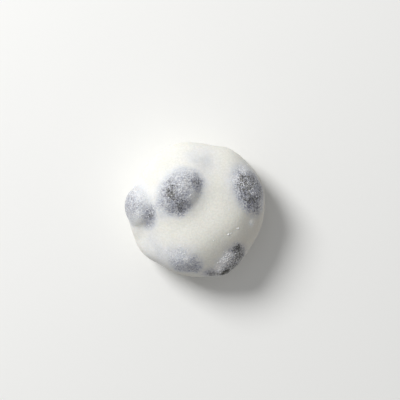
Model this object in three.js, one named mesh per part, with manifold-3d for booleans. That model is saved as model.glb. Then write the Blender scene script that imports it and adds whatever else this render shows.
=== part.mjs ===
// A mochi rice cake: a soft mound of pounded rice dough with whole black soybeans kneaded into it.
// Five beans lie so close under the skin that they lift it and show through it.
// Units are millimetres, +Z is up, the cake rests on Z = 0 and its box is centred on the Z axis.
import * as THREE from 'three';
import { mergeVertices } from 'three/addons/utils/BufferGeometryUtils.js';
import Module from 'manifold-3d';

// ---- Driving dimensions ----------------------------------------------------------------------

// The settled mound: its mean radius at the widest level, how high that level lies, how far the
// crown rises above it, and how deep the rounded underside would reach if the table didn't cut it.
// A fullness of 2 would make the section an ellipse; more makes its shoulders squarer.
const MOUND = { radius: 27.0, equator: 11.2, crown: 17.5, underside: 15.0, fullness: 2.4 };

// Swells and hollows of the outline seen from above: where, how wide, and how far in or out.
const LOBES = [
  { bearing: 54, spread: 14, out: 1.6 },
  { bearing: 24, spread: 22, out: 2.9 },
  { bearing: 100, spread: 16, out: 0.6 },
  { bearing: 150, spread: 18, out: -1.6 },
  { bearing: 200, spread: 16, out: -0.9 },
  { bearing: 217, spread: 14, out: 0.3 },
  { bearing: 240, spread: 14, out: -0.9 },
  { bearing: 302, spread: 22, out: 2.1 },
  { bearing: 351, spread: 22, out: 1.5 },
];

// Broad rises and hollows of the mound's top: where, how far they reach, and how much they lift it.
const SWELLS = [
  { at: [-6.5, 8.5], reach: 16, rise: 2.3 },
  { at: [-4, 7], reach: 12, rise: 0.9 },
  { at: [0, -16], reach: 14, rise: 1.4 },
  { at: [-18, -11], reach: 12, rise: -2.4 },
  { at: [14, -19], reach: 13, rise: -1.2 },
  { at: [24, -5], reach: 8, rise: -0.8 },
  { at: [10, 17], reach: 9, rise: -0.8 },
  { at: [14, -6], reach: 14, rise: 1.0 },
  { at: [-17, 17], reach: 11, rise: 1.8 },
];

// The beans. at is where the bean's cap rises from the mound, seen from above; heading is the way
// its length points; size is length, width and thickness; stand is the cap's rise over the mound.
const BEANS = {
  bean_crown: { at: [-4.5, 7.6], heading: 44, size: [19.5, 15.8, 12.5], stand: 1.5 },
  bean_left: { at: [-22.9, 1.8], heading: 106, size: [16.5, 15.5, 12.0], stand: 2.6 },
  bean_right: { at: [23.0, 7.3], heading: -62, size: [20.5, 14.6, 12.5], stand: 1.7 },
  bean_lower_right: { at: [15.0, -21.0], heading: 50, size: [19.0, 14.0, 11.0], stand: 1.1 },
  bean_lower: { at: [-3.9, -20.7], heading: -5, size: [15.5, 13.5, 11.0], stand: 1.0 },
};

const BEAN_CURL = 0.008; // sideways bow of a bean, per millimetre of its half length
const FILLET = 3.0; // reach of the soft rise of the dough up to a bean
const LIP = 0.8; // how far below the cap's surface the dough rising round it stops
const GAP = 0.3; // clearance between a bean and its socket in the dough

// ---- Fineness of the faceted surfaces --------------------------------------------------------

const DOUGH_DETAIL = 15;
const BEAN_DETAIL = 4;
const OUTERMOST = 45; // a radius that is clear outside the cake
const HALVINGS = 26; // steps of the search for the surface along a ray
const SLOPE_STEP = 0.5; // how far to each side of a bean the mound's slope is felt

const wasm = await Module();
wasm.setup();

// ---- Distances -------------------------------------------------------------------------------

// How far the outline is pushed out at this bearing, as a share of the mound's radius.
function outlineStretch(bearing) {
  const degrees = THREE.MathUtils.radToDeg(bearing);
  let radius = MOUND.radius;
  for (const lobe of LOBES) {
    const apart = THREE.MathUtils.euclideanModulo(degrees - lobe.bearing + 180, 360) - 180;
    radius += lobe.out * Math.exp(-((apart / lobe.spread) ** 2));
  }
  return radius / MOUND.radius;
}

// The point of the mound's top at a place seen from above, before any swell.
function smoothTop(x, y) {
  const share = Math.hypot(x, y) / outlineStretch(Math.atan2(y, x)) / MOUND.radius;
  const heightShare = (1 - share ** MOUND.fullness) ** (1 / MOUND.fullness);
  return new THREE.Vector3(x, y, MOUND.equator + MOUND.crown * heightShare);
}

const swellTops = SWELLS.map((swell) => smoothTop(...swell.at));

// How much the swells lift a point of the mound.
function lift(point) {
  return SWELLS.reduce((total, swell, index) => {
    const near = Math.max(1 - point.distanceTo(swellTops[index]) / swell.reach, 0);
    return total + swell.rise * near ** 2 * (3 - 2 * near);
  }, 0);
}

// The point of the mound's top at a place, on the swells where there are any.
function liftedTop(x, y) {
  const point = smoothTop(x, y);
  point.z += lift(point);
  return point;
}

// Distance of a point outside the mound, negative inside, measured along the ray from its centre.
function distanceToMound(point) {
  const stretch = outlineStretch(Math.atan2(point.y, point.x));
  const level = point.z - lift(point) - MOUND.equator;
  const width = Math.hypot(point.x, point.y) / stretch;
  const height = level > 0 ? MOUND.crown : MOUND.underside;
  const power = MOUND.fullness;
  const share = ((width / MOUND.radius) ** power + Math.abs(level / height) ** power) ** (1 / power);
  return Math.hypot(width, level) * (1 - 1 / Math.max(share, 1e-6));
}

// Distance of a point outside a bean, negative inside. seat is the bean's frame.
function distanceToBean(point, bean, seat) {
  const local = point.clone().applyMatrix4(seat.clone().invert());
  local.y -= BEAN_CURL * local.x ** 2;
  const half = new THREE.Vector3(...bean.size).multiplyScalar(0.5);
  const scaled = local.clone().divide(half);
  const slope = scaled.clone().divide(half).length();
  const share = scaled.length();
  return (share * (share - 1)) / Math.max(slope, 1e-6);
}

// The lesser of two distances, with the corner between them filled by a soft fillet.
function blended(a, b) {
  const overlap = Math.max(FILLET - Math.abs(a - b), 0) / FILLET;
  return Math.min(a, b) - (overlap ** 2 * FILLET) / 4;
}

// ---- Beans -----------------------------------------------------------------------------------

// A bean's frame: its thickness stands along the mound's normal, its length along the heading.
function beanSeat(bean) {
  const [x, y] = bean.at;
  const eastward = liftedTop(x + SLOPE_STEP, y).sub(liftedTop(x - SLOPE_STEP, y));
  const northward = liftedTop(x, y + SLOPE_STEP).sub(liftedTop(x, y - SLOPE_STEP));
  const normal = eastward.cross(northward).normalize();
  const heading = THREE.MathUtils.degToRad(bean.heading);
  const along = new THREE.Vector3(Math.cos(heading), Math.sin(heading), 0);
  along.addScaledVector(normal, -along.dot(normal)).normalize();
  const across = new THREE.Vector3().crossVectors(normal, along);
  const centre = liftedTop(x, y).addScaledVector(normal, bean.stand - bean.size[2] / 2);
  return new THREE.Matrix4().makeBasis(along, across, normal).setPosition(centre);
}

// A bean as a closed solid, grown all round by extra.
function beanGeometry(bean, seat, extra = 0) {
  const geometry = merged(new THREE.IcosahedronGeometry(1, BEAN_DETAIL));
  const [length, width, thickness] = bean.size;
  geometry.scale(length / 2 + extra, width / 2 + extra, thickness / 2 + extra);
  const places = geometry.getAttribute('position');
  for (let i = 0; i < places.count; i++) {
    places.setY(i, places.getY(i) + BEAN_CURL * places.getX(i) ** 2);
  }
  return geometry.applyMatrix4(seat);
}

// ---- Dough -----------------------------------------------------------------------------------

// The outermost point of a surface on the ray from start, found by halving.
function alongRay(direction, start, distance) {
  let inside = 0;
  let outside = OUTERMOST;
  for (let i = 0; i < HALVINGS; i++) {
    const middle = (inside + outside) / 2;
    const point = start.clone().addScaledVector(direction, middle);
    if (distance(point) > 0) outside = middle;
    else inside = middle;
  }
  return start.clone().addScaledVector(direction, outside);
}

// The mound with the dough drawn up softly round every bean, before it is cut flat underneath.
function doughGeometry(seats) {
  const centre = new THREE.Vector3(0, 0, MOUND.equator);
  const distance = (point) =>
    Object.entries(BEANS).reduce(
      (least, [name, bean]) => blended(least, distanceToBean(point, bean, seats[name]) + LIP),
      distanceToMound(point),
    );
  const geometry = merged(new THREE.IcosahedronGeometry(1, DOUGH_DETAIL));
  const places = geometry.getAttribute('position');
  for (let i = 0; i < places.count; i++) {
    const direction = new THREE.Vector3().fromBufferAttribute(places, i).normalize();
    places.setXYZ(i, ...alongRay(direction, centre, distance));
  }
  return geometry;
}

// ---- Geometry to solid and back --------------------------------------------------------------

function merged(geometry) {
  geometry.deleteAttribute('normal');
  geometry.deleteAttribute('uv');
  return mergeVertices(geometry, 1e-5);
}

function solidOf(geometry) {
  return new wasm.Manifold(
    new wasm.Mesh({
      numProp: 3,
      vertProperties: new Float32Array(geometry.getAttribute('position').array),
      triVerts: new Uint32Array(geometry.index.array),
    }),
  );
}

function geometryOf(solid) {
  const mesh = solid.getMesh();
  const geometry = new THREE.BufferGeometry();
  geometry.setAttribute('position', new THREE.BufferAttribute(mesh.vertProperties, 3));
  geometry.setIndex(new THREE.BufferAttribute(mesh.triVerts, 1));
  geometry.computeVertexNormals();
  return geometry;
}

function tableGeometry() {
  const depth = OUTERMOST;
  const table = merged(new THREE.BoxGeometry(2 * OUTERMOST, 2 * OUTERMOST, depth));
  return table.translate(0, 0, -depth / 2);
}

// ---- The cake --------------------------------------------------------------------------------

const seats = Object.fromEntries(
  Object.entries(BEANS).map(([name, bean]) => [name, beanSeat(bean)]),
);

let dough = solidOf(doughGeometry(seats)).subtract(solidOf(tableGeometry()));
for (const [name, bean] of Object.entries(BEANS)) {
  dough = dough.subtract(solidOf(beanGeometry(bean, seats[name], GAP)));
}

const doughMaterial = new THREE.MeshStandardMaterial({
  color: '#e9e8e1',
  roughness: 0.75,
  metalness: 0,
});
const beanMaterial = new THREE.MeshStandardMaterial({
  color: '#3a393f',
  roughness: 0.5,
  metalness: 0,
});

const cake = new THREE.Group();
const doughMesh = new THREE.Mesh(geometryOf(dough), doughMaterial);
doughMesh.name = 'dough';
cake.add(doughMesh);
for (const [name, bean] of Object.entries(BEANS)) {
  const beanMesh = new THREE.Mesh(beanGeometry(bean, seats[name]), beanMaterial);
  beanMesh.name = name;
  cake.add(beanMesh);
}

// The lobes and beans leave the box a little off the axis, so the whole cake is moved to centre it.
const box = new THREE.Box3().setFromObject(cake);
const middle = box.getCenter(new THREE.Vector3());
cake.position.set(-middle.x, -middle.y, 0);

export default cake;
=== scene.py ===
"""A mochi rice cake with black soybeans under its skin, resting on a plain pale floor.

Lengths are millimetres in every size field below, and MM turns them into the scene's metres.
The cake rests on Z = 0 with its box centred on the Z axis.
"""

import logging
import math
from collections.abc import Callable, Iterable, Sequence
from dataclasses import dataclass
from enum import Enum

import bmesh
import bpy
import numpy as np
from mathutils import Matrix, Vector
from mathutils.bvhtree import BVHTree


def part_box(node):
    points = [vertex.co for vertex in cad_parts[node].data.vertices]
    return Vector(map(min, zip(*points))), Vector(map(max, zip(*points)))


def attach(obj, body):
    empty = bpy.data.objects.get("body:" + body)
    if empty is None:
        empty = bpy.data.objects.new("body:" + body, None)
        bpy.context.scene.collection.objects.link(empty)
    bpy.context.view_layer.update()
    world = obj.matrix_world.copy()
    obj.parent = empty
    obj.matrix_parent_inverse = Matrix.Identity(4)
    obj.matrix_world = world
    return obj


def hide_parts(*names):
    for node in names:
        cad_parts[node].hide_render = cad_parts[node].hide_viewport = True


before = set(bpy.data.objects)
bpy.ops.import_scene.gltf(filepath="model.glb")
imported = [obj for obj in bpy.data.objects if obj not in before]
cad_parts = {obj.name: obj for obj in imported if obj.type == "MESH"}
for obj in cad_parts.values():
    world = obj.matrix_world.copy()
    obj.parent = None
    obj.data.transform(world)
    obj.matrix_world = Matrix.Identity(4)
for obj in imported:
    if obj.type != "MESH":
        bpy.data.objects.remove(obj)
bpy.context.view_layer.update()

MM = 0.001
BODY = "root"
FILM = "film"
DUST = "dust"
# the attribute of painted shade: how far the skin is turned away from the light
PAINTED_SHADE = "lee"
FADED = 0.368  # what is left of a darkness after one fading length
ABOVE = 100.0  # a height clear of the cake
TOUCH = 0.001  # vertices closer than this are one

log = logging.getLogger("mochi")

Pair = tuple[float, float]


class Slot(Enum):
    """The record's material slots."""

    DOUGH = "dough"
    BEAN = "bean"


# ---- The workbench: selecting and shaping with operators ---------------------------------------


class Bench:
    """Thin helpers round the modelling operators, which all act on what is selected."""

    @staticmethod
    def clear() -> None:
        """Leaves nothing selected."""
        bpy.ops.object.select_all(action="DESELECT")

    @staticmethod
    def take(piece: bpy.types.Object) -> bpy.types.Object:
        """Makes one piece the only selected and the active one.

        Args:
            piece: The object to work on.

        Returns:
            The same object.
        """
        Bench.clear()
        piece.select_set(True)
        bpy.context.view_layer.objects.active = piece
        return piece

    @staticmethod
    def open(piece: bpy.types.Object) -> None:
        """Takes a piece into edit mode with vertices as the thing selected.

        Args:
            piece: The object to edit.
        """
        Bench.take(piece)
        bpy.ops.object.mode_set(mode="EDIT")
        bpy.ops.mesh.select_mode(type="VERT")

    @staticmethod
    def close() -> None:
        """Leaves edit mode."""
        bpy.ops.object.mode_set(mode="OBJECT")

    @staticmethod
    def pick(test: Callable[[Vector], bool]) -> None:
        """Selects the vertices of the open piece that pass a test, and nothing else.

        Args:
            test: Says of a vertex's place, in metres, whether it is wanted.
        """
        mesh = bpy.context.edit_object.data
        shape = bmesh.from_edit_mesh(mesh)
        for vertex in shape.verts:
            vertex.select = test(vertex.co)
        shape.select_flush_mode()
        bmesh.update_edit_mesh(mesh, loop_triangles=False, destructive=False)

    @staticmethod
    def draw(spot: Vector, push: Vector, reach: float) -> None:
        """Moves one vertex of the open piece and softly draws what lies round it along.

        Args:
            spot: The vertex's place, in metres like the rest.
            push: How far it moves.
            reach: How far round it the move is felt.
        """
        Bench.pick(lambda place: place == spot)
        bpy.ops.transform.translate(
            value=push,
            use_proportional_edit=True,
            proportional_edit_falloff="SMOOTH",
            proportional_size=reach,
        )

    @staticmethod
    def heal() -> None:
        """Merges doubled vertices of the open piece and turns all its faces outwards."""
        bpy.ops.mesh.select_all(action="SELECT")
        bpy.ops.mesh.remove_doubles(threshold=TOUCH * MM)
        bpy.ops.mesh.normals_make_consistent(inside=False)

    @staticmethod
    def settle(piece: bpy.types.Object) -> None:
        """Moves a piece's place, turn and scale from its object into its mesh.

        Args:
            piece: The object to settle.
        """
        Bench.take(piece)
        bpy.ops.object.transform_apply(location=True, rotation=True, scale=True)

    @staticmethod
    def modify(piece: bpy.types.Object, kind: str, **settings: object) -> None:
        """Adds a modifier to a piece, sets it and applies it.

        Args:
            piece: The object to change.
            kind: The modifier's type.
            **settings: Its settings by name.
        """
        Bench.take(piece)
        bpy.ops.object.modifier_add(type=kind)
        modifier = piece.modifiers[-1]
        for name, value in settings.items():
            setattr(modifier, name, value)
        bpy.ops.object.modifier_apply(modifier=modifier.name)

    @staticmethod
    def join(pieces: Sequence[bpy.types.Object]) -> bpy.types.Object:
        """Joins several pieces into the first.

        Args:
            pieces: The objects to join.

        Returns:
            The first object, which now holds them all.
        """
        Bench.take(pieces[0])
        for piece in pieces[1:]:
            piece.select_set(True)
        bpy.ops.object.join()
        return pieces[0]

    @staticmethod
    def tree(piece: bpy.types.Object) -> BVHTree:
        """Makes a search tree of a settled piece's surface.

        Args:
            piece: The object, with its place in its mesh.

        Returns:
            The tree, in metres.
        """
        points = [vertex.co.copy() for vertex in piece.data.vertices]
        return BVHTree.FromPolygons(points, [tuple(face.vertices) for face in piece.data.polygons])

    @staticmethod
    def remove(piece: bpy.types.Object) -> None:
        """Deletes a helper object.

        Args:
            piece: The object to delete.
        """
        Bench.take(piece)
        bpy.ops.object.delete()

    @staticmethod
    def smooth(piece: bpy.types.Object) -> None:
        """Shades a piece smoothly.

        Args:
            piece: The object to shade.
        """
        Bench.take(piece)
        bpy.ops.object.shade_smooth()


# ---- Shader maths ------------------------------------------------------------------------------


Number = "Channel | float"


class Channel:
    """A number that varies over a surface. Python's operators add the Math nodes."""

    def __init__(self, graph: "Graph", socket: bpy.types.NodeSocket) -> None:
        """Wraps one output socket of a graph.

        Args:
            graph: The node graph that the socket belongs to.
            socket: The socket that carries the number.
        """
        self.graph = graph
        self.socket = socket

    def __add__(self, other: Number) -> "Channel":
        """Sum."""
        return self.graph.math("ADD", self, other)

    __radd__ = __add__

    def __sub__(self, other: Number) -> "Channel":
        """Difference."""
        return self.graph.math("SUBTRACT", self, other)

    def __rsub__(self, other: Number) -> "Channel":
        """Difference from a plain number."""
        return self.graph.math("SUBTRACT", other, self)

    def __mul__(self, other: Number) -> "Channel":
        """Product."""
        return self.graph.math("MULTIPLY", self, other)

    __rmul__ = __mul__

    def __truediv__(self, other: Number) -> "Channel":
        """Quotient."""
        return self.graph.math("DIVIDE", self, other)

    def __rpow__(self, other: Number) -> "Channel":
        """Power of a plain number."""
        return self.graph.math("POWER", other, self)

    def between(self, low: float, high: float) -> "Channel":
        """Rises smoothly from 0 at low to 1 at high, or falls where low is the greater.

        Args:
            low: The value that gives 0.
            high: The value that gives 1.

        Returns:
            The new channel.
        """
        settings = {"interpolation_type": "SMOOTHSTEP"}
        values = {"Value": self, "From Min": low, "From Max": high}
        return self.graph.channel("ShaderNodeMapRange", "Result", settings, values)


@dataclass(frozen=True)
class Pattern:
    """A noise pattern that is fixed to a piece, about 0.5 on average."""

    size: float  # of its features, in millimetres
    detail: float = 2.0  # how many finer octaves it has
    rough: float = 0.5  # how strong these are
    twist: float = 0.0  # how far it is distorted
    span: Pair | None = None  # the values that become 0 and 1, where it is sharpened


class Graph:
    """The node graph of one material, with a Principled shader at its end."""

    def __init__(self, name: str, constants: dict[str, object]) -> None:
        """Makes an empty material with its shader.

        Args:
            name: The material's name.
            constants: What is the same all over, by the shader's own socket names.
        """
        self.material = bpy.data.materials.new(name)
        self.material.use_nodes = True
        self.tree = self.material.node_tree
        self.tree.nodes.clear()
        self.shader = self.node("ShaderNodeBsdfPrincipled", {}, constants)
        self.node("ShaderNodeOutputMaterial", {}, {"Surface": self.shader.outputs["BSDF"]})
        place = self.node("ShaderNodeTexCoord", {}, {}).outputs["Object"]
        values = {0: place, "Scale": 1 / MM}
        scale = self.node("ShaderNodeVectorMath", {"operation": "SCALE"}, values)
        self.place = scale.outputs["Vector"]

    def node(self, kind: str, settings: dict[str, object], values: dict) -> bpy.types.Node:
        """Adds a node of any type.

        Args:
            kind: The node's type.
            settings: Its settings by name, which are set before the sockets. A ramp's stops
                are given under "stops" as pairs of place and colour.
            values: What each input socket gets, by name or number: a channel, a socket or a value.

        Returns:
            The new node.
        """
        node = self.tree.nodes.new(kind)
        for name, value in settings.items():
            if name == "stops":
                self._set_stops(node.color_ramp, value)
            else:
                setattr(node, name, value)
        for name, value in values.items():
            target = node.inputs[name]
            source = value.socket if isinstance(value, Channel) else value
            if isinstance(source, bpy.types.NodeSocket):
                self.tree.links.new(source, target)
            else:
                target.default_value = source
        return node

    @staticmethod
    def _set_stops(ramp: bpy.types.ColorRamp, stops: Sequence[tuple]) -> None:
        """Gives a ramp its stops.

        Args:
            ramp: The colour ramp.
            stops: Pairs of place and colour.
        """
        while len(ramp.elements) < len(stops):
            ramp.elements.new(1.0)
        for element, (place, colour) in zip(ramp.elements, stops):
            element.position = place
            element.color = colour

    def channel(self, kind: str, output: str, settings: dict, values: dict) -> Channel:
        """Adds a node and wraps one of its outputs.

        Args:
            kind: The node's type.
            output: The name of the output wanted.
            settings: As for node.
            values: As for node.

        Returns:
            The output as a channel.
        """
        return Channel(self, self.node(kind, settings, values).outputs[output])

    def math(self, operation: str, *values: Number) -> Channel:
        """Adds a Math node.

        Args:
            operation: The node's operation.
            *values: Its inputs in order.

        Returns:
            Its result.
        """
        settings = {"operation": operation}
        return self.channel("ShaderNodeMath", "Value", settings, dict(enumerate(values)))

    def attribute(self, name: str) -> Channel:
        """Reads one of the piece's own numbers.

        Args:
            name: The attribute's name.

        Returns:
            Its value.
        """
        return self.channel("ShaderNodeAttribute", "Fac", {"attribute_name": name}, {})

    def noise(self, pattern: Pattern) -> Channel:
        """Adds a noise pattern.

        Args:
            pattern: What the noise looks like.

        Returns:
            The pattern.
        """
        values = {
            "Vector": self.place,
            "Scale": 1 / pattern.size,
            "Detail": pattern.detail,
            "Roughness": pattern.rough,
            "Distortion": pattern.twist,
        }
        noise = self.channel("ShaderNodeTexNoise", "Fac", {}, values)
        return noise.between(*pattern.span) if pattern.span else noise

    def axes(self) -> tuple[Channel, Channel, Channel]:
        """Splits the place on the piece into its three coordinates, in millimetres.

        Returns:
            X, Y and Z.
        """
        split = self.node("ShaderNodeSeparateXYZ", {}, {0: self.place})
        return tuple(Channel(self, output) for output in split.outputs)

    def mix(self, share: Number, first: object, second: object) -> bpy.types.NodeSocket:
        """Mixes two colours.

        Args:
            share: How much of the second colour there is.
            first: A colour or a colour socket.
            second: A colour or a colour socket.

        Returns:
            The mixed colour's socket.
        """
        values = {"Factor": share, 6: first, 7: second}
        return self.node("ShaderNodeMix", {"data_type": "RGBA"}, values).outputs[2]

    def ramp(self, place: Channel, stops: Sequence[tuple]) -> bpy.types.NodeSocket:
        """Adds a colour ramp.

        Args:
            place: Where on the ramp each spot of the surface is.
            stops: Pairs of place and colour.

        Returns:
            The colour's socket.
        """
        return self.node("ShaderNodeValToRGB", {"stops": stops}, {"Fac": place}).outputs["Color"]

    def finish(
        self,
        colour: bpy.types.NodeSocket,
        roughness: Channel,
        height: Channel,
        depth: float,
    ) -> bpy.types.Material:
        """Joins what varies over the surface to the shader.

        Args:
            colour: The base colour.
            roughness: The roughness.
            height: The fine relief, from 0 to 1.
            depth: How many millimetres a relief of 1 stands up.

        Returns:
            The finished material.
        """
        values = {"Height": height, "Distance": depth * MM, "Strength": 1.0}
        bump = self.node("ShaderNodeBump", {}, values)
        links = self.tree.links
        links.new(colour, self.shader.inputs["Base Color"])
        links.new(roughness.socket, self.shader.inputs["Roughness"])
        links.new(bump.outputs["Normal"], self.shader.inputs["Normal"])
        return self.material


def tone(red: float, green: float, blue: float) -> tuple[float, float, float, float]:
    """Turns a screen colour of 0 to 255 into the linear colour that a shader takes.

    Args:
        red: Red as on a screen.
        green: Green as on a screen.
        blue: Blue as on a screen.

    Returns:
        The linear colour with full alpha.
    """
    linear = []
    for value in (red, green, blue):
        share = value / 255
        linear.append(share / 12.92 if share <= 0.04045 else ((share + 0.055) / 1.055) ** 2.4)
    return (*linear, 1.0)


# ---- Finishes ----------------------------------------------------------------------------------


@dataclass(frozen=True)
class DoughFinish:
    """Rice dough dusted with starch: matte, faintly translucent, with beans showing through, and
    with shade painted on the side turned away from the light.
    """

    starch: tuple = tone(238, 239, 243)
    # painted shade for the flank turned away from the light
    painted_flank_shade: tuple = tone(219, 213, 203)
    cloudy: tuple = tone(206, 206, 199)
    # painted shade for the rim round the foot on that side
    painted_rim_shade: tuple = tone(150, 145, 138)
    # From plain dough to bare bean, where the skin faces the light and starch veils it: the lit
    # copy of these colours.
    lit_side_stops: tuple = (
        (0.00, tone(234, 233, 225)),
        (0.07, tone(230, 230, 228)),
        (0.20, tone(208, 211, 216)),
        (0.40, tone(175, 178, 188)),
        (0.62, tone(133, 135, 149)),
        (0.84, tone(86, 86, 98)),
        (1.00, tone(20, 18, 22)),
    )
    # Painted shade: a warmer copy of the same, for the side turned away from the light.
    painted_shade_stops: tuple = (
        (0.00, tone(234, 233, 224)),
        (0.07, tone(230, 229, 221)),
        (0.20, tone(209, 210, 211)),
        (0.40, tone(174, 177, 189)),
        (0.62, tone(129, 132, 152)),
        (0.84, tone(82, 83, 102)),
        (1.00, tone(20, 18, 22)),
    )
    scatter: float = 0.30
    scatter_reach: tuple[float, float, float] = (1.0, 0.82, 0.66)  # of red, green and blue
    shine: float = 0.4
    roughness: float = 0.62
    relief: float = 0.12  # the depth of the fine relief, in millimetres

    # The film over a bean, in millimetres, and how it varies.
    fading: float = 1.3  # the film that takes two thirds of a bean's darkness
    edges: Pattern = Pattern(3.4, rough=0.55)
    edge_share: float = 0.6  # of the film
    clouds: Pattern = Pattern(2.4, detail=3.0, rough=0.6, twist=0.3)
    cloud_depth: float = 1.3
    worms: Pattern = Pattern(1.054, detail=1.0, twist=0.5)
    worm_width: float = 0.08
    specks: Pattern = Pattern(0.62, rough=0.6, span=(0.46, 0.70))
    craze_share: float = 0.24  # of the skin that worms or specks cover
    craze_mix: float = 0.6  # of worms, and as much of specks
    craze_depth: float = 1.35
    crazed: Pattern = Pattern(4.6, detail=1.0, span=(0.38, 0.62))
    crazed_depth: float = 0.6  # more of it, where the crazing is strong
    craze_film: Pair = (3.0, 1.4)  # where the crazing begins and where it is whole

    # Painted shade: a darker, warmer tone on the flank that lies turned away from the light, and a
    # darker tone round the foot on that side.
    flank_way: Pair = (0.78, -0.62)
    flank_shade: Pair = (13.0, 25.0)  # how far that way it begins and is whole
    flank_share: float = 0.8
    rim_shade: Pair = (22.0, 14.0)  # the heights at which the rim's painted shade begins and is whole
    rim_seen: Pair = (0.5, 0.2)  # a bean that shows this much hides it, or doesn't
    rim_share: float = 0.60
    low_rim: Pair = (16.0, 11.0)  # the same for its darkest part
    low_rim_share: float = 0.18

    # Starch that lies on the skin.
    clumps: Pattern = Pattern(0.6, detail=1.0, span=(0.58, 0.68))
    clump_clouds: Pair = (0.40, 0.60)  # the clouds that clumps lie in
    clump_share: float = 0.40
    veil: Pair = (0.05, 0.35)  # how much a bean shows where its own starch shows too
    veil_share: float = 0.05
    dust_share: float = 0.45  # of the dust attribute, where there are no specks
    dust_specks: float = 0.9  # how much more of it specks take
    dust_film: Pair = (0.0, 0.35)  # a film too thin for starch, and one that holds it
    dust_most: float = 0.9

    # The unevenness of the dough itself.
    drift: Pattern = Pattern(6.0, detail=4.0, rough=0.6, span=(0.3, 0.7))
    drift_share: float = 0.08
    mottle: Pattern = Pattern(0.8, rough=0.6, span=(0.3, 0.7))
    mottle_share: float = 0.34
    rough_specks: float = 0.12
    grain: Pattern = Pattern(0.45, rough=0.6)
    grain_height: float = 0.9
    craze_height: float = 0.15
    veiled_height: float = 0.4
    swell: Pattern = Pattern(1.9)
    swell_height: float = 0.6

    def make(self) -> bpy.types.Material:
        """Builds the material.

        Returns:
            The finished material.
        """
        constants = {
            "Subsurface Weight": self.scatter,
            "Subsurface Radius": self.scatter_reach,
            "Subsurface Scale": MM,
            "Specular IOR Level": self.shine,
        }
        graph = Graph("rice_dough", constants)
        clouds = graph.noise(self.clouds)
        worms = graph.math("ABSOLUTE", graph.noise(self.worms) - 0.5).between(self.worm_width, 0.0)
        specks = graph.noise(self.specks)
        craze = (worms - self.craze_share) * self.craze_mix
        craze = craze + (specks - self.craze_share) * self.craze_mix
        film = self._film(graph, clouds, craze)
        seen = FADED ** (film / self.fading)
        veiled = seen.between(*self.veil)

        colour = self._shade(graph, seen)
        clumps = graph.noise(self.clumps) * clouds.between(*self.clump_clouds)
        dust = graph.attribute(DUST) * (self.dust_share + specks * self.dust_specks)
        dust = dust + veiled * (clumps * self.clump_share + specks * self.veil_share)
        dust = graph.math("MINIMUM", dust * film.between(*self.dust_film), self.dust_most)
        colour = graph.mix(dust, colour, self.starch)
        uneven = graph.noise(self.drift) * self.drift_share
        uneven = uneven + graph.noise(self.mottle) * self.mottle_share
        colour = graph.mix(uneven, colour, self.cloudy)

        roughness = self.roughness + (specks - 0.5) * self.rough_specks
        height = graph.noise(self.grain) * self.grain_height
        height = height + craze * (self.craze_height + veiled * self.veiled_height)
        height = height + graph.noise(self.swell) * self.swell_height
        return graph.finish(colour, roughness, height, self.relief)

    def _film(self, graph: Graph, clouds: Channel, craze: Channel) -> Channel:
        """Makes the film over the beans uneven.

        Args:
            graph: The material's node graph.
            clouds: The broad unevenness.
            craze: The fine crazing, about 0 on average.

        Returns:
            The film's thickness in millimetres.
        """
        edges = 1 - self.edge_share / 2 + graph.noise(self.edges) * self.edge_share
        film = graph.attribute(FILM) * edges + (clouds - 0.5) * self.cloud_depth
        depth = self.craze_depth + graph.noise(self.crazed) * self.crazed_depth
        film = film + craze * depth * film.between(*self.craze_film)
        return graph.math("MAXIMUM", film, 0.0)

    def _shade(self, graph: Graph, seen: Channel) -> bpy.types.NodeSocket:
        """Colours the skin by what shows through it, and paints shade where it lies turned away
        from the light.

        Args:
            graph: The material's node graph.
            seen: How much of a bean's darkness shows.

        Returns:
            The colour before any starch.
        """
        # painted shade: skin tilted away from the light takes the warmer, darker ramp
        lee = graph.attribute(PAINTED_SHADE)
        x, y, z = graph.axes()
        across, along = self.flank_way
        # painted shade on the flank and the rim turned away from the light
        flank_shade = (x * across + y * along).between(*self.flank_shade) * self.flank_share
        rim_shade = lee * (1 - flank_shade) * z.between(*self.rim_shade) * seen.between(*self.rim_seen)
        rim_shade = rim_shade * (self.rim_share + z.between(*self.low_rim) * self.low_rim_share)
        colour = graph.mix(lee, graph.ramp(seen, self.lit_side_stops), graph.ramp(seen, self.painted_shade_stops))
        colour = graph.mix(flank_shade * (1 - seen), colour, self.painted_flank_shade)
        return graph.mix(rim_shade, colour, self.painted_rim_shade)


@dataclass(frozen=True)
class PlainFinish:
    """A finish of two colours that drift into each other, with a fine relief."""

    name: str
    first: tuple
    second: tuple
    drift: Pattern  # where the second colour is
    drift_share: float  # how much of it there is at most
    shine: float
    roughness: float
    worn: Pattern  # where it is rougher
    worn_share: float  # and by how much
    bumps: Pattern
    relief: float  # the depth of the fine relief, in millimetres

    def make(self) -> bpy.types.Material:
        """Builds the material.

        Returns:
            The finished material.
        """
        graph = Graph(self.name, {"Specular IOR Level": self.shine})
        colour = graph.mix(graph.noise(self.drift) * self.drift_share, self.first, self.second)
        roughness = self.roughness + graph.noise(self.worn) * self.worn_share
        return graph.finish(colour, roughness, graph.noise(self.bumps), self.relief)


LUMPY = Pattern(0.8, detail=1.0)
WRINKLED = Pattern(0.9, detail=4.0, rough=0.55, twist=1.2)
BLOTCHY = Pattern(2.2, detail=3.0, rough=0.6, span=(0.4, 0.75))
BROAD = Pattern(60.0)

# clean white and a little glossy
STARCH_GRAIN = PlainFinish(
    "starch_grain", tone(244, 245, 247), tone(232, 233, 234), LUMPY, 0.25,
    shine=0.5, roughness=0.35, worn=LUMPY, worn_share=0.15, bumps=LUMPY, relief=0.02,
)
# nearly black, smooth and moist, with fine wrinkles in its coat
BLACK_SOYBEAN = PlainFinish(
    "black_soybean", tone(24, 22, 25), tone(52, 42, 44), BLOTCHY, 1.0,
    shine=0.5, roughness=0.26, worn=WRINKLED, worn_share=0.2, bumps=WRINKLED, relief=0.08,
)
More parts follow.
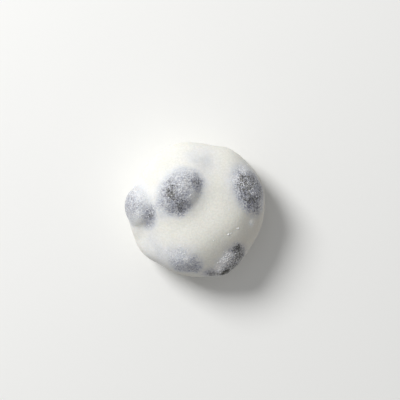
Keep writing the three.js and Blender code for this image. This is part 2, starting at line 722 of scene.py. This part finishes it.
# plain and pale, with the faintest unevenness
PALE_FLOOR = PlainFinish(
    "pale_floor", tone(240, 240, 238), tone(234, 234, 232), BROAD, 0.15,
    shine=0.3, roughness=0.75, worn=BROAD, worn_share=0.1, bumps=Pattern(1.5), relief=0.01,
)


# ---- The mound of dough ------------------------------------------------------------------------


@dataclass(frozen=True)
class Lobe:
    """A swell or hollow of the mound's outline seen from above."""

    bearing: float
    spread: float
    out: float


@dataclass(frozen=True)
class Swell:
    """A broad soft rise or hollow of the mound's top."""

    at: Pair
    reach: float
    rise: float


@dataclass(frozen=True)
class Mound:
    """The settled mound of dough that the beans sit in."""

    radius: float = 27.0
    equator: float = 11.2
    crown: float = 17.5
    underside: float = 15.0
    fullness: float = 2.4
    lobes: tuple[Lobe, ...] = (
        Lobe(54, 14, 1.6),
        Lobe(24, 22, 2.9),
        Lobe(100, 16, 0.6),
        Lobe(150, 18, -1.6),
        Lobe(200, 16, -0.9),
        Lobe(217, 14, 0.3),
        Lobe(240, 14, -0.9),
        Lobe(302, 22, 2.1),
        Lobe(351, 22, 1.5),
    )
    swells: tuple[Swell, ...] = (
        Swell((-6.5, 8.5), 16, 2.3),
        Swell((-4, 7), 12, 0.9),
        Swell((0, -16), 14, 1.4),
        Swell((-18, -11), 12, -2.4),
        Swell((14, -19), 13, -1.2),
        Swell((24, -5), 8, -0.8),
        Swell((10, 17), 9, -0.8),
        Swell((14, -6), 14, 1.0),
        Swell((-17, 17), 11, 1.8),
    )
    meridians: int = 120
    levels: int = 40
    last_level: float = math.radians(86.0)
    slope_step: float = 0.5  # how far to each side of a bean the slope is felt

    def stretch(self, bearing: float) -> float:
        """How far the outline is pushed out at a bearing, as a share of the mound's radius.

        Args:
            bearing: The direction from the axis, in radians.

        Returns:
            The share, about 1.
        """
        radius = self.radius
        for lobe in self.lobes:
            apart = (math.degrees(bearing) - lobe.bearing + 180) % 360 - 180
            radius += lobe.out * math.exp(-((apart / lobe.spread) ** 2))
        return radius / self.radius

    def section(self, angle: float) -> Pair:
        """A point of the mound's rounded section.

        Args:
            angle: The point's angle above the widest level, in radians.

        Returns:
            Its distance from the axis and its height.
        """
        power = 2 / self.fullness
        reach = self.crown if angle > 0 else self.underside
        rise = math.copysign(abs(math.sin(angle)) ** power, angle) * reach
        return self.radius * math.cos(angle) ** power, self.equator + rise

    def top(self, x: float, y: float) -> Vector:
        """The point of the mound's top that is seen at a place from above.

        Args:
            x: The place across.
            y: The place along.

        Returns:
            The point, on the swells where there are any.
        """
        share = math.hypot(x, y) / self.stretch(math.atan2(y, x)) / self.radius
        height = (1 - share**self.fullness) ** (1 / self.fullness)
        return Vector((x, y, self.equator + self.crown * height))

    def lift(self, place: Vector) -> float:
        """How far the swells raise a point of the mound.

        Args:
            place: The point before any swell.

        Returns:
            The rise.
        """
        total = 0.0
        for swell in self.swells:
            near = max(1 - (place - self.top(*swell.at)).length / swell.reach, 0.0)
            total += swell.rise * near**2 * (3 - 2 * near)
        return total

    def lifted_top(self, x: float, y: float) -> Vector:
        """The point of the mound's top at a place, with the swells."""
        point = self.top(x, y)
        return point + Vector((0, 0, self.lift(point)))

    def seat(self, at: Pair, heading: float, rise: float) -> Matrix:
        """The frame of something that lies on the mound.

        Args:
            at: Where it lies, seen from above.
            heading: The way its length points, in degrees.
            rise: How far its middle lies above the mound's surface, along the normal.

        Returns:
            The frame, in millimetres: X along its length, Z along the mound's normal.
        """
        east, west, north, south = (
            self.lifted_top(at[0] + x * self.slope_step, at[1] + y * self.slope_step)
            for x, y in ((1, 0), (-1, 0), (0, 1), (0, -1))
        )
        normal = (east - west).cross(north - south).normalized()
        turn = math.radians(heading)
        along = Vector((math.cos(turn), math.sin(turn), 0))
        along = (along - normal * along.dot(normal)).normalized()
        across = normal.cross(along)
        centre = self.lifted_top(*at) + normal * rise
        columns = Matrix((along, across, normal)).transposed().to_4x4()
        return Matrix.Translation(centre) @ columns

    def build(self, name: str) -> bpy.types.Object:
        """Models the mound: a foot drawn up level by level, then pushed in and out all round.

        Args:
            name: The new object's name.

        Returns:
            The closed mound.
        """
        foot = -math.asin((self.equator / self.underside) ** (self.fullness / 2))
        width, height = self.section(foot)
        bpy.ops.mesh.primitive_circle_add(
            vertices=self.meridians,
            radius=width * MM,
            fill_type="NGON",
            location=(0, 0, height * MM),
        )
        mound = bpy.context.object
        mound.name = name
        Bench.settle(mound)
        Bench.open(mound)
        bpy.ops.mesh.select_all(action="SELECT")
        for step in range(1, self.levels + 1):
            angle = foot + (self.last_level - foot) * step / self.levels
            next_width, next_height = self.section(angle)
            bpy.ops.mesh.extrude_region_move(
                TRANSFORM_OT_translate={"value": (0, 0, (next_height - height) * MM)}
            )
            scale = next_width / width
            bpy.ops.transform.resize(
                value=(scale, scale, 1), center_override=(0, 0, next_height * MM)
            )
            width, height = next_width, next_height
        self._push_outline()
        Bench.heal()
        self._raise_swells()
        Bench.close()
        return mound

    def _raise_swells(self) -> None:
        """Draws the open mound's top softly up or down at each swell."""
        for swell in self.swells:
            middle = self.top(*swell.at)
            shape = bmesh.from_edit_mesh(bpy.context.edit_object.data)
            nearest = min(shape.verts, key=lambda vertex: (vertex.co / MM - middle).length)
            Bench.draw(nearest.co.copy(), Vector((0, 0, swell.rise * MM)), swell.reach * MM)

    def _push_outline(self) -> None:
        """Pushes each meridian of the open mound in or out as the lobes say."""
        pitch = math.tau / self.meridians
        for index in range(self.meridians):
            bearing = index * pitch

            def on_meridian(place: Vector, bearing: float = bearing) -> bool:
                """Tells whether a vertex lies on this meridian."""
                apart = (math.atan2(place.y, place.x) - bearing + math.pi) % math.tau - math.pi
                return abs(apart) < pitch / 3

            Bench.pick(on_meridian)
            stretch = self.stretch(bearing)
            bpy.ops.transform.resize(value=(stretch, stretch, 1), center_override=(0, 0, 0))


# ---- Beans -------------------------------------------------------------------------------------


@dataclass(frozen=True)
class Bean:
    """A whole cooked black soybean, seated in the dough with its flat side along the skin."""

    name: str
    at: Pair
    heading: float
    size: tuple[float, float, float]
    stand: float
    cover: float  # the film of dough and starch over the bean's cap
    side_cover: float  # the thicker dough round the bean's sides
    curl: float = 0.008
    slices: int = 24
    meridians: int = 32
    play: float = 0.02  # how far from its slice's middle a vertex may lie

    @property
    def node(self) -> str:
        """The CAD node that this bean stands for."""
        return f"bean_{self.name}"

    def model(self, name: str, covered: bool = False) -> bpy.types.Object:
        """Models the bean lying along X about the origin.

        Args:
            name: The new object's name.
            covered: Whether the film of dough over the bean is part of it.

        Returns:
            The closed bean.
        """
        length, width, thickness = (side / 2 for side in self.size)
        half = (length, width, thickness)
        if not covered:
            half = (length - self.side_cover, width - self.side_cover, thickness - self.cover)
        bpy.ops.mesh.primitive_uv_sphere_add(
            segments=self.meridians, ring_count=self.slices, radius=MM, rotation=(0, math.pi / 2, 0)
        )
        bean = bpy.context.object
        bean.name = name
        Bench.settle(bean)
        Bench.open(bean)
        bpy.ops.mesh.select_all(action="SELECT")
        bpy.ops.transform.resize(value=half, center_override=(0, 0, 0))
        self._curl(half[0])
        Bench.heal()
        Bench.close()
        return bean

    def _curl(self, half_length: float) -> None:
        """Bows the open bean sideways, slice by slice.

        Args:
            half_length: Half the bean's length.
        """
        pitch = math.pi / self.slices
        for index in range(self.slices + 1):
            middle = half_length * math.cos(index * pitch)

            def in_slice(place: Vector, middle: float = middle) -> bool:
                """Tells whether a vertex lies in this slice."""
                return abs(place.x - middle * MM) < self.play * MM

            Bench.pick(in_slice)
            bpy.ops.transform.translate(value=(0, self.curl * middle**2 * MM, 0))

    def seat(self, bean: bpy.types.Object, mound: Mound) -> None:
        """Puts a bean in its place in the mound.

        Args:
            bean: The modelled bean.
            mound: The mound that carries it.
        """
        place = mound.seat(self.at, self.heading, self.stand - self.size[2] / 2)
        place.translation *= MM
        bean.matrix_world = place
        Bench.settle(bean)


@dataclass(frozen=True)
class Patch:
    """A soft-edged spot of the skin where the film over a bean, or the starch on it, is uneven."""

    at: Pair
    reach: float
    film: float = 0.0  # how much thicker the film is in the middle of the spot, in millimetres
    dust: float = 0.0  # how much more starch lies there, from 0 to 1


@dataclass(frozen=True)
class Nudge:
    """A small place where the finished skin is pushed softly out or in along its normal."""

    at: Pair
    reach: float
    out: float


@dataclass(frozen=True)
class Sprinkle:
    """A spot where loose grains of starch cling to the skin."""

    at: Pair
    reach: float
    count: int
    size: float = 1.0  # how much bigger than usual the grains are


# The beans that lift the skin: each one's place, heading, size, stand, cover and side cover.
BEANS = (
    Bean("crown", (-4.5, 7.6), 44, (19.5, 15.8, 12.5), 1.5, 0.75, 1.5),
    Bean("left", (-22.9, 1.8), 106, (16.5, 15.5, 12.0), 2.6, 1.0, 1.6),
    Bean("right", (23.0, 7.3), -62, (20.5, 14.6, 12.5), 1.7, 0.72, 0.9),
    Bean("lower_right", (15.0, -21.0), 50, (19.0, 14.0, 11.0), 1.1, 0.85, 1.1),
    Bean("lower", (-3.9, -20.7), -5, (15.5, 13.5, 11.0), 1.0, 1.35, 1.6),
)

# Beans so deep that they only tint the skin.
DEEP_BEANS = (
    Bean("deep_top", (4.3, 19.2), 20, (15.0, 12.0, 10.0), -2.4, 0.0, 0.0),
    Bean("deep_lower_left", (-13.6, -18.0), 145, (15.0, 12.0, 10.0), -2.3, 0.0, 0.0),
)

# Where the film and the starch are uneven.
PATCHES = (
    # over the bean at the crown
    Patch((-5.8, 12.4), 3.0, film=0.10, dust=0.05),
    Patch((-2.2, 14.8), 2.8, film=0.45, dust=0.10),
    Patch((-9.6, 6.0), 1.9, film=-0.70),
    Patch((-9.3, 9.0), 2.8, film=-0.40),
    Patch((-8.4, 5.4), 1.6, film=-0.18),
    Patch((-4.8, 2.4), 1.6, film=-0.20),
    Patch((-7.2, 10.6), 2.2, film=0.10),
    Patch((-12.2, 3.4), 1.8, film=0.20, dust=0.10),
    Patch((-6.3, 7.2), 1.5, film=0.25, dust=0.20),
    Patch((-3.8, 9.4), 2.1, film=0.50, dust=0.15),
    Patch((-1.0, 7.2), 1.8, film=0.38),
    Patch((-0.2, 4.2), 2.6, film=1.10, dust=0.10),
    Patch((1.2, 10.3), 2.0, film=-0.42),
    Patch((4.5, 11.0), 2.2, film=-0.60),
    Patch((-5.3, 2.4), 2.8, film=-0.38),
    # painted shade: these four thin the film to darken the band below this bean, where its bump
    # sheds shade
    Patch((-3.6, -0.6), 1.6, film=-0.35),
    Patch((-5.5, -2.2), 2.1, film=-1.50),
    Patch((-9.3, -2.0), 1.8, film=-0.90),
    Patch((-13.6, -2.8), 2.5, film=-1.60),
    # over the bean at the left edge
    Patch((-21.6, 6.6), 4.0, film=0.70, dust=0.30),
    Patch((-26.0, 3.0), 2.6, film=-0.12),
    Patch((-22.3, 2.2), 2.0, film=-0.30),
    Patch((-22.3, -1.2), 1.4, film=0.40, dust=0.35),
    Patch((-22.8, -5.2), 3.0, film=1.00, dust=0.30),
    Patch((-22.5, -6.8), 1.9, film=1.35, dust=0.40),
    Patch((-25.8, -3.9), 1.6, film=0.50),
    Patch((-19.6, 2.2), 1.5, film=0.35, dust=0.10),
    Patch((-19.9, 0.9), 1.2, film=-0.15),
    Patch((-16.7, -1.8), 2.0, film=-1.45),
    Patch((-15.8, 1.2), 2.2, film=-1.30),
    Patch((-13.6, 4.4), 1.8, film=0.30),
    Patch((-16.4, -5.4), 2.7, film=-1.90),
    Patch((-17.6, -8.2), 2.6, film=-1.30),
    # over the bean near the right edge
    Patch((19.0, 16.3), 1.8, film=0.70, dust=0.75),
    Patch((16.3, 12.7), 1.3, film=0.50, dust=0.60),
    Patch((14.0, 10.8), 1.8, film=0.30, dust=0.70),
    Patch((19.3, 10.2), 1.2, film=0.10, dust=0.30),
    Patch((22.6, 7.0), 0.9, dust=0.25),
    Patch((19.4, 7.8), 1.6, film=-0.22),
    Patch((20.9, 15.0), 1.4, film=0.30),
    Patch((18.2, 13.0), 1.7, film=-0.45),
    # thinner film over the bean's right side: its own darkness, deepened as painted shade where the
    # rim lies turned away from the light
    Patch((27.2, 8.2), 3.2, film=-0.75),
    Patch((24.6, 7.6), 1.9, film=0.55),
    Patch((15.6, 6.0), 2.2, film=0.40),
    Patch((21.5, 10.4), 1.5, film=-0.50),
    Patch((24.2, 3.4), 1.6, film=-0.30),
    Patch((24.0, 15.5), 2.4, film=-0.40),
    Patch((26.3, 2.4), 1.9, film=0.70, dust=0.20),
    Patch((21.4, 3.2), 3.0, film=-0.40),
    Patch((25.2, -0.6), 1.8, film=0.15),
    Patch((20.0, 9.6), 3.4, film=-0.42),
    # over the bean at the lower right edge
    Patch((16.9, -14.2), 1.5, film=-1.20),
    Patch((17.2, -14.6), 0.8, film=-0.80),
    # painted shade: thinner film darkens the skin right of the crease, which lies turned away from
    # the light
    Patch((14.8, -12.6), 3.0, film=-1.00),
    Patch((9.2, -17.8), 2.1, film=1.20),
    Patch((15.2, -18.4), 1.5, film=0.15, dust=0.10),
    Patch((13.3, -17.4), 1.7, film=0.20, dust=0.25),
    Patch((11.4, -19.7), 1.8, film=0.40, dust=0.40),
    Patch((13.2, -21.0), 1.8, film=0.05, dust=0.05),
    Patch((9.9, -23.8), 1.9, film=0.50, dust=0.45),
    Patch((7.8, -22.0), 2.2, film=0.90, dust=0.10),
    Patch((17.8, -18.0), 2.8, film=-0.60),
    Patch((19.4, -13.8), 3.2, film=-0.25),
    Patch((15.2, -22.8), 2.6, film=-0.55),
    Patch((13.1, -24.5), 0.7, film=-2.40),
    Patch((12.2, -24.9), 0.7, film=-2.40),
    Patch((11.1, -25.8), 0.6, film=-2.20),
    # over the bean at the lower edge
    Patch((-6.5, -15.0), 3.4, film=0.50),
    Patch((-6.5, -25.4), 2.8, film=-1.10),
    Patch((0.0, -25.4), 2.8, film=-0.80),
    Patch((-3.1, -18.9), 1.2, film=0.30, dust=0.35),
    Patch((-0.8, -15.7), 1.2, film=0.30, dust=0.35),
    Patch((-10.6, -18.2), 1.6, film=0.40),
    Patch((-12.6, -19.0), 3.0, film=-0.70, dust=0.30),
    Patch((-5.7, -19.7), 1.5, film=-0.15),
    Patch((-8.4, -24.2), 2.0, film=-0.40),
    Patch((-4.6, -21.8), 2.0, film=0.17),
    Patch((-2.4, -17.8), 1.6, film=0.17),
    # painted shade along the edge between the two lower beans: thinner film darkens the rim there
    Patch((3.2, -25.4), 3.4, film=-1.70),
    Patch((10.4, -26.6), 2.8, film=-0.75),
    Patch((6.8, -26.4), 2.2, film=-0.25),
    # over the deep bean at the lower left
    Patch((-13.4, -20.6), 2.6, film=0.90, dust=0.20),
    Patch((-16.6, -18.0), 2.2, film=0.80),
    Patch((-13.8, -17.8), 4.4, dust=0.55),
    # starch rubbed on the plain skin
    Patch((22.5, -5.0), 1.4, dust=0.75),
    Patch((22.1, -6.6), 1.0, dust=0.30),
)

# Small forms of the finished skin.
NUDGES = (
    # the fuller edge below the bean at the lower right
    Nudge((11.4, -26.6), 6.0, 0.7),
    # torn skin over that bean, with a little flap between the two tears
    Nudge((12.9, -24.5), 1.3, -0.8),
    Nudge((12.0, -24.9), 1.4, -1.0),
    Nudge((11.2, -25.8), 1.1, -0.8),
    Nudge((12.9, -25.6), 1.0, 0.4),
    # the crease across the right flank
    Nudge((17.6, -6.8), 1.8, -0.05),
    Nudge((16.2, -7.9), 1.8, -0.07),
    Nudge((14.8, -8.9), 1.8, -0.08),
    Nudge((13.2, -9.7), 1.8, -0.07),
    Nudge((11.4, -9.9), 1.8, -0.05),
    # a lump of starch and dough on the right flank
    Nudge((22.5, -5.1), 1.9, 0.35),
    # the dough that fills the foot of the bean at the left edge
    Nudge((-24.4, -7.6), 5.5, 0.7),
    # the corner and the notch of the outline
    Nudge((12.2, 25.2), 4.8, 0.5),
    Nudge((-14.8, -22.6), 3.6, -0.35),
)

# Loose grains of starch.
SPRINKLES = (
    # over the bean at the crown
    Sprinkle((-6.2, 8.2), 2.6, 18),
    Sprinkle((-2.5, 6.0), 2.0, 6),
    Sprinkle((-11.2, 2.6), 2.0, 8),
    Sprinkle((-14.4, 6.4), 1.6, 8),
    Sprinkle((-5.5, 14.4), 3.0, 6),
    # over the bean at the left edge
    Sprinkle((-22.6, 3.2), 3.2, 24),
    Sprinkle((-22.1, -1.4), 1.4, 12),
    Sprinkle((-18.8, -1.0), 2.4, 18),
    # over the bean near the right edge
    Sprinkle((19.0, 16.4), 1.8, 16),
    Sprinkle((16.2, 12.6), 1.2, 10),
    Sprinkle((14.0, 10.8), 1.8, 8),
    Sprinkle((19.0, 10.0), 2.4, 16),
    Sprinkle((22.6, 7.0), 1.3, 12),
    # over the bean at the lower right edge
    Sprinkle((13.3, -17.2), 1.6, 12),
    Sprinkle((10.9, -20.3), 1.8, 16),
    Sprinkle((9.6, -23.5), 1.4, 16),
    # over the bean at the lower edge
    Sprinkle((-3.1, -19.0), 1.6, 10),
    Sprinkle((-6.2, -16.2), 3.4, 12),
    Sprinkle((-9.8, -19.2), 3.0, 8),
    # the bigger grains in the crease: white grains that stand in for its glints of light, a painted
    # highlight
    Sprinkle((16.9, -7.3), 0.1, 1, size=2.4),
    Sprinkle((16.4, -7.3), 0.1, 1, size=1.6),
    Sprinkle((14.3, -9.2), 0.1, 1, size=2.2),
    Sprinkle((13.1, -9.7), 0.1, 1, size=2.0),
    # on the plain skin
    Sprinkle((22.4, -5.2), 0.9, 4),
    Sprinkle((0.0, 0.0), 13.0, 10),
)


@dataclass(frozen=True)
class Dough:
    """The skin and body of the cake: one soft closed form over mound and beans."""

    mound: Mound = Mound()
    finish: DoughFinish = DoughFinish()
    voxel: float = 0.72
    softening: int = 14
    patches: tuple[Patch, ...] = PATCHES
    nudges: tuple[Nudge, ...] = NUDGES
    foot: float = 0.1  # what lies lower than this is pressed flat
    leeward: Pair = (0.74, -0.67)  # the way that the light goes, seen from above
    lee: Pair = (-0.05, 0.40)  # how far skin tilts that way where the painted shade begins and is whole

    def build(self, beans: Sequence[Bean], shift: Vector) -> bpy.types.Object:
        """Models the dough.

        Args:
            beans: The beans that lift the skin.
            shift: How far the mound is moved so that it lies where the CAD has it, in metres.

        Returns:
            The closed dough.
        """
        mound = self.mound.build("dough_skin")
        shells = []
        for bean in beans:
            shell = bean.model(f"shell_{bean.name}", covered=True)
            bean.seat(shell, self.mound)
            shells.append(shell)
        dough = Bench.join([mound, *shells])
        dough.name = "dough_skin"
        dough.location = shift
        Bench.settle(dough)
        Bench.modify(dough, "REMESH", mode="VOXEL", voxel_size=self.voxel * MM)
        Bench.modify(dough, "SMOOTH", factor=0.5, iterations=self.softening)
        Bench.modify(dough, "SUBSURF", levels=1, render_levels=1)
        self._flatten_foot(dough)
        self._nudge(dough)
        Bench.smooth(dough)
        return dough

    def _nudge(self, dough: bpy.types.Object) -> None:
        """Pushes the skin softly out or in at each nudge.

        Args:
            dough: The dough.
        """
        Bench.open(dough)
        for nudge in self.nudges:
            at = Vector(nudge.at) * MM
            shape = bmesh.from_edit_mesh(dough.data)
            upward = (vertex for vertex in shape.verts if vertex.normal.z > 0.0)
            nearest = min(upward, key=lambda vertex, at=at: (vertex.co.xy - at).length)
            Bench.draw(nearest.co.copy(), nearest.normal * nudge.out * MM, nudge.reach * MM)
        Bench.close()

    def _flatten_foot(self, dough: bpy.types.Object) -> None:
        """Presses the lowest part of the dough flat on the floor.

        Args:
            dough: The dough.
        """
        Bench.open(dough)
        Bench.pick(lambda place: place.z < self.foot * MM)
        bpy.ops.transform.resize(value=(1, 1, 0), center_override=(0, 0, 0))
        Bench.close()

    def dress(self, dough: bpy.types.Object, beans: Iterable[bpy.types.Object]) -> None:
        """Writes the film over the beans, the starch and the painted shade to each vertex and gives
        the dough its finish.

        Args:
            dough: The modelled dough.
            beans: The beans under it, in place.
        """
        trees = [Bench.tree(bean) for bean in beans]
        vertices = dough.data.vertices
        nearest = [min(tree.find_nearest(vertex.co)[3] for tree in trees) for vertex in vertices]
        film = np.array(nearest) / MM
        dust = np.zeros(len(vertices))
        places = np.array([vertex.co[:2] for vertex in vertices]) / MM
        for patch in self.patches:
            apart = np.linalg.norm(places - patch.at, axis=1) / patch.reach
            share = np.exp(-(apart**2))
            film += patch.film * share
            dust += patch.dust * share
        # painted shade: the more a vertex tilts away from the light, the more shade is painted on
        # it
        tilt = np.array([vertex.normal[:2] for vertex in vertices]) @ self.leeward
        lee = np.interp(tilt, self.lee, (0, 1))
        for name, values in ((FILM, film), (DUST, dust), (PAINTED_SHADE, lee)):
            attribute = dough.data.attributes.new(name, "FLOAT", "POINT")
            attribute.data.foreach_set("value", values.astype(np.float32))
        dough.data.materials.clear()
        dough.data.materials.append(self.finish.make())


@dataclass(frozen=True)
class Starch:
    """Loose grains of starch: small uneven lumps that lie half sunk in the skin."""

    sprinkles: tuple[Sprinkle, ...] = SPRINKLES
    smallest: float = 0.30
    largest: float = 0.58
    width: float = 0.75  # of a grain's length
    thickness: float = 0.65  # of a grain's length
    unevenness: float = 0.12  # of a grain a millimetre long
    crowding: float = 1.6  # how much closer than its reach most grains of a sprinkle lie
    kinds: int = 4
    seed: int = 21

    def build(self, dough: bpy.types.Object) -> bpy.types.Object:
        """Models the grains on the skin.

        Args:
            dough: The finished dough that they lie on.

        Returns:
            All grains as one piece.
        """
        draw = np.random.default_rng(self.seed)
        skin = Bench.tree(dough)
        lumps = [self._lump(kind) for kind in range(self.kinds)]
        grains = []
        for sprinkle in self.sprinkles:
            for _ in range(sprinkle.count):
                x, y = np.array(sprinkle.at) + draw.normal(0.0, sprinkle.reach / self.crowding, 2)
                above = Vector((x, y, ABOVE)) * MM
                spot, normal, _, _ = skin.ray_cast(above, Vector((0, 0, -1)))
                size = draw.uniform(self.smallest, self.largest) * sprinkle.size
                turn = draw.uniform(0, math.tau)
                if spot is None:
                    continue
                grain = lumps[len(grains) % self.kinds].copy()
                grain.data = grain.data.copy()
                bpy.context.collection.objects.link(grain)
                grain.matrix_world = (
                    Matrix.Translation(spot)
                    @ normal.to_track_quat("Z", "Y").to_matrix().to_4x4()
                    @ Matrix.Rotation(turn, 4, "Z")
                    @ Matrix.Diagonal((size, size * self.width, size * self.thickness, 1.0))
                )
                grains.append(grain)
        for lump in lumps:
            Bench.remove(lump)
        starch = Bench.join(grains)
        starch.name = "starch_grains"
        Bench.settle(starch)
        Bench.smooth(starch)
        starch.data.materials.append(STARCH_GRAIN.make())
        return starch

    def _lump(self, kind: int) -> bpy.types.Object:
        """Models one uneven grain, a millimetre across.

        Args:
            kind: Which of the grains it is.

        Returns:
            The grain at the origin.
        """
        bpy.ops.mesh.primitive_ico_sphere_add(subdivisions=1, radius=0.5 * MM)
        lump = bpy.context.object
        Bench.open(lump)
        bpy.ops.mesh.select_all(action="SELECT")
        bpy.ops.transform.vertex_random(offset=self.unevenness * MM, uniform=0.5, seed=kind + 1)
        Bench.heal()
        Bench.close()
        return lump


# ---- The studio --------------------------------------------------------------------------------


@dataclass(frozen=True)
class Studio:
    """A pale floor, soft light from the upper left and a camera that looks straight down."""

    floor_side: float = 3000.0
    eye_height: float = 450.0
    eye_at: Pair = (1.95, 3.86)
    view_width: float = 162.4
    view_level: float = 12.0
    key_bearing: float = 138.0
    key_rise: float = 43.0
    key_far: float = 1240.0
    key_side: float = 550.0
    key_power: float = 14.5
    fill_strength: float = 0.34

    def build(self) -> None:
        """Makes the floor, the light and the camera."""
        self._lay_floor()
        self._light()
        self._aim_camera()

    def _lay_floor(self) -> None:
        """Lays the floor just under the cake."""
        bpy.ops.mesh.primitive_plane_add(size=self.floor_side * MM)
        floor = bpy.context.object
        floor.name = "floor"
        Bench.open(floor)
        bpy.ops.mesh.select_all(action="SELECT")
        bpy.ops.mesh.subdivide(number_cuts=4)
        Bench.close()
        floor.data.materials.append(PALE_FLOOR.make())

    def _light(self) -> None:
        """Hangs one big soft lamp at the upper left and fills the rest from all round."""
        bearing, rise = math.radians(self.key_bearing), math.radians(self.key_rise)
        level = math.cos(rise)
        aim = Vector((level * math.cos(bearing), level * math.sin(bearing), math.sin(rise)))
        place = aim * self.key_far * MM
        bpy.ops.object.light_add(type="AREA", location=place)
        lamp = bpy.context.object
        lamp.name = "key_lamp"
        lamp.data.shape = "DISK"
        lamp.data.size = self.key_side * MM
        lamp.data.energy = self.key_power
        lamp.rotation_euler = (-place).to_track_quat("-Z", "Y").to_euler()
        world = bpy.data.worlds.new("soft_room")
        world.use_nodes = True
        world.node_tree.nodes["Background"].inputs["Color"].default_value = (1.0, 1.0, 1.0, 1.0)
        world.node_tree.nodes["Background"].inputs["Strength"].default_value = self.fill_strength
        scene = bpy.context.scene
        scene.world = world
        scene.view_settings.view_transform = "Standard"

    def _aim_camera(self) -> None:
        """Sets the camera over the cake, looking straight down."""
        x, y = self.eye_at
        place = Vector((x, y, self.eye_height)) * MM
        bpy.ops.object.camera_add(location=place, rotation=(0, 0, 0))
        camera = bpy.context.object
        camera.name = "camera"
        reach = self.eye_height - self.view_level
        camera.data.lens = camera.data.sensor_width * reach / self.view_width
        camera.data.clip_start = 0.01
        bpy.context.scene.camera = camera


# ---- Putting it together -----------------------------------------------------------------------


def middle_of(piece: bpy.types.Object) -> Vector:
    """The centre of a piece's box.

    Args:
        piece: The object, settled at the origin.

    Returns:
        The centre, in metres.
    """
    corners = [Vector(corner) for corner in piece.bound_box]
    return (corners[0] + corners[6]) / 2


def report(piece: bpy.types.Object) -> None:
    """Logs a piece's name, size and number of faces.

    Args:
        piece: The object.
    """
    size = " x ".join(f"{side / MM:.1f}" for side in piece.dimensions)
    log.info("%s: %s mm, %d faces", piece.name, size, len(piece.data.polygons))


def way_to_cad(mound: Mound) -> Vector:
    """How far the modelled cake has to move to lie where the CAD has it.

    Args:
        mound: The mound that seats the beans.

    Returns:
        The move over the floor, in metres.
    """
    plan = BEANS[0]
    bean = plan.model("guide", covered=True)
    plan.seat(bean, mound)
    low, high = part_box(plan.node)
    way = (low + high) / 2 - middle_of(bean)
    log.info("bean and CAD lie %s mm apart", [round(value / MM, 2) for value in way])
    Bench.remove(bean)
    return Vector((way.x, way.y, 0.0))


def main() -> None:
    """Builds the studio, the beans, the dough and its starch grains, and logs how big each piece
    is.
    """
    logging.basicConfig(level=logging.INFO, format="%(message)s")
    Bench.clear()
    Studio().build()
    dough_builder = Dough()
    bean_finish = BLACK_SOYBEAN.make()
    shift = way_to_cad(dough_builder.mound)

    beans = []
    for plan in (*BEANS, *DEEP_BEANS):
        bean = plan.model(f"soybean_{plan.name}")
        plan.seat(bean, dough_builder.mound)
        bean.location = shift
        Bench.settle(bean)
        beans.append(bean)
    for plan, bean in zip(BEANS, beans):
        Bench.modify(bean, "SUBSURF", levels=1, render_levels=1)
        Bench.smooth(bean)
        bean.data.materials.append(bean_finish)
        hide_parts(plan.node)
        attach(bean, BODY)
        report(bean)

    dough = dough_builder.build(BEANS, shift)
    dough_builder.dress(dough, beans)
    for bean in beans[len(BEANS):]:
        Bench.remove(bean)
    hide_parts("dough")
    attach(dough, BODY)
    report(dough)

    starch = Starch().build(dough)
    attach(starch, BODY)
    report(starch)


if __name__ == "__main__":
    main()
